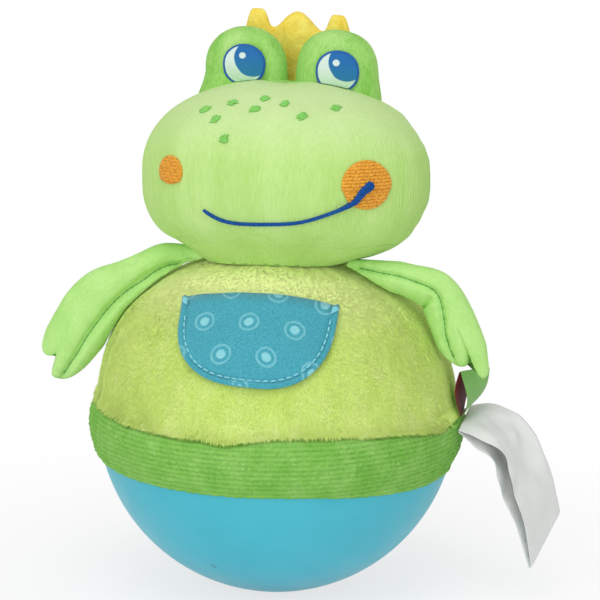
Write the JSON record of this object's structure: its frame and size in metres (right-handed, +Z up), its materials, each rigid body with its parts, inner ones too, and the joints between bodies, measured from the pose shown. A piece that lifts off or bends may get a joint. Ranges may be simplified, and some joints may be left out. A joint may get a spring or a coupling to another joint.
{
  "type": "roly poly toy",
  "caption": "Stuffed frog on a weighted half-ball base that rights itself, with a nodding head, swinging arms and a chime inside.",
  "frame": {"origin": "middle of the flat foot at the bottom of the bowl", "axes": "+Z up, the face looks along -Y, +X to the viewer's right"},
  "size_m": [0.1592, 0.115, 0.1761],
  "materials": {
    "bowl_plastic": "glossy blue moulding",
    "ballast_iron": "plain casting",
    "screw_steel": "zinc plated",
    "inner_plastic": "plain moulding",
    "striker_plastic": "plain moulding",
    "cord_white": "braided",
    "fibre": "loose polyester fibre",
    "lime_plush": "short fur",
    "green_terry": "ribbed terry",
    "teal_print": "printed cotton",
    "pale_velour": "short velour",
    "green_velour": "short velour",
    "eye_print": "printed",
    "yellow_fleece": "fleece",
    "orange_thread": "fill stitch",
    "blue_thread": "satin stitch",
    "green_thread": "satin stitch",
    "white_tape": "woven tape",
    "green_ribbon": "woven ribbon"
  },
  "bodies": {
    "body": {"base_bowl": "bowl_plastic", "ballast_weight": "ballast_iron", "ballast_screws": "screw_steel", "chime_carrier": "inner_plastic", "chime_rod_1": "screw_steel", "chime_rod_2": "screw_steel", "chime_rod_3": "screw_steel", "chime_rod_4": "screw_steel", "striker_pin": "screw_steel", "base_lid": "inner_plastic", "lid_screws": "screw_steel", "hem_cord": "cord_white", "body_filling": "fibre", "body_front_cover": "lime_plush", "body_back_cover": "lime_plush", "body_band": "green_terry", "pocket": "teal_print"},
    "head": {"head_filling": "fibre", "face_cover": "pale_velour", "head_back_cover": "green_velour", "left_eye_dome": "green_velour", "right_eye_dome": "green_velour", "left_eye": "eye_print", "right_eye": "eye_print", "crown": "yellow_fleece", "left_cheek": "orange_thread", "right_cheek": "orange_thread", "mouth": "blue_thread", "freckles": "green_thread"},
    "left_arm": {"left_arm": "green_velour"},
    "right_arm": {"right_arm": "green_velour"},
    "striker": {"chime_striker": "striker_plastic"},
    "care_label": {"care_label": "white_tape"},
    "ribbon_label": {"ribbon_label": "green_ribbon"}
  },
  "joints": [
    {"name": "head_nod", "type": "hinge", "parent": "body", "child": "head", "pos_m": [0, 0, 0.10641], "axis": [1, 0, 0], "range_deg": [-6, 6], "stiffness_Nm_per_rad": 0.3},
    {"name": "left_arm_swing", "type": "hinge", "parent": "body", "child": "left_arm", "pos_m": [-0.023, -0.0042, 0.1037], "axis": [-0.4216, -0.077, 0.9035], "range_deg": [-25, 30], "stiffness_Nm_per_rad": 0.005},
    {"name": "right_arm_swing", "type": "hinge", "parent": "body", "child": "right_arm", "pos_m": [0.023, -0.0066, 0.1035], "axis": [0.4212, -0.1209, 0.8989], "range_deg": [-25, 3], "stiffness_Nm_per_rad": 0.005},
    {"name": "striker_swing", "type": "hinge", "parent": "body", "child": "striker", "pos_m": [0, 0, 0.03632], "axis": [0, 1, 0], "range_deg": [-42, 42]},
    {"name": "care_label_flap", "type": "hinge", "parent": "body", "child": "care_label", "pos_m": [0.05793, -0.00304, 0.05541], "axis": [0, -1, 0], "range_deg": [-20, 30], "stiffness_Nm_per_rad": 0.002},
    {"name": "ribbon_label_flap", "type": "hinge", "parent": "body", "child": "ribbon_label", "pos_m": [0.05751, -0.00301, 0.05742], "axis": [0, 1, 0], "range_deg": [-2, 20], "stiffness_Nm_per_rad": 0.001}
  ]
}
